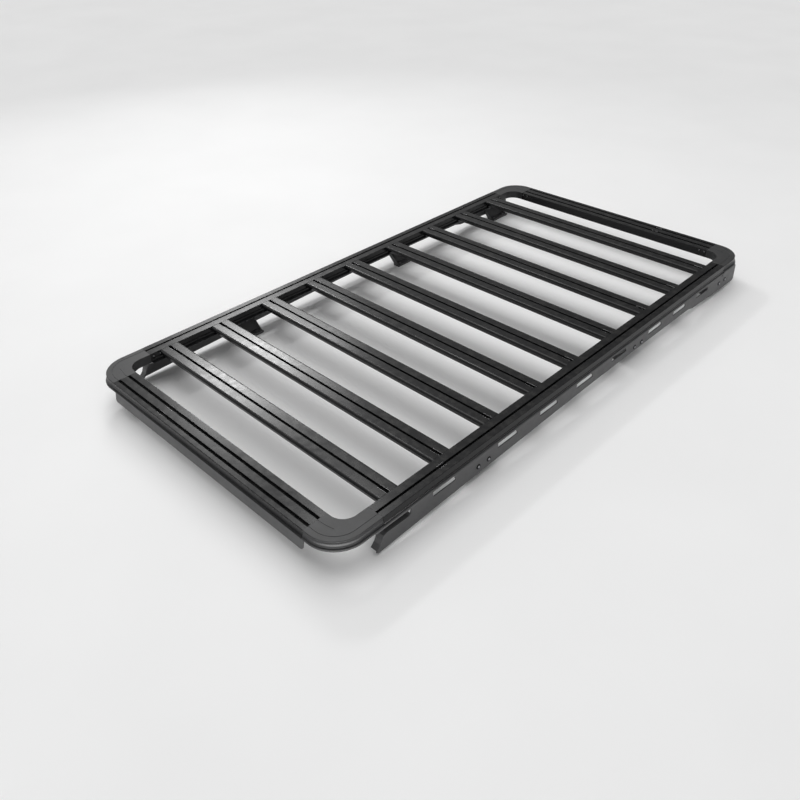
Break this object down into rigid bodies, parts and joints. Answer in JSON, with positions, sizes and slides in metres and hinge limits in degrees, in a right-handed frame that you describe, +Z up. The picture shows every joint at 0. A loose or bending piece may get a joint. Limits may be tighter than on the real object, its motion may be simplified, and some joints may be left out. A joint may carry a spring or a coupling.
{
  "type": "flat platform roof rack",
  "caption": "Black slatted aluminium roof platform with slotted rails, cast round corners and cut-out side plates on bolted feet.",
  "frame": {"origin": "on the level that the foot pads stand on, under the deck's centre", "axes": "+Z up, -Y towards the vehicle's front, +X towards the vehicle's left"},
  "size_m": [1.261, 2.396, 0.125],
  "materials": {
    "extrusion_paint": "satin black powder coat",
    "casting_paint": "satin black powder coat on cast metal",
    "plate_paint": "satin black powder coat on sheet",
    "pad_rubber": "matt"
  },
  "bodies": {
    "root": {"front_member": "extrusion_paint", "rear_member": "extrusion_paint", "side_rail_left": "extrusion_paint", "side_rail_right": "extrusion_paint", "corner_front_left": "casting_paint", "corner_front_right": "casting_paint", "corner_rear_left": "casting_paint", "corner_rear_right": "casting_paint", "slat_1": "extrusion_paint", "slat_2": "extrusion_paint", "slat_3": "extrusion_paint", "slat_4": "extrusion_paint", "slat_5": "extrusion_paint", "slat_6": "extrusion_paint", "slat_7": "extrusion_paint", "slat_8": "extrusion_paint", "slat_9": "extrusion_paint", "side_plate_left": "plate_paint", "side_plate_right": "plate_paint", "foot_front_left": "plate_paint", "foot_middle_left": "plate_paint", "foot_rear_left": "plate_paint", "foot_front_right": "plate_paint", "foot_middle_right": "plate_paint", "foot_rear_right": "plate_paint", "foot_pads": "pad_rubber", "front_deflector": "plate_paint"}
  },
  "joints": []
}
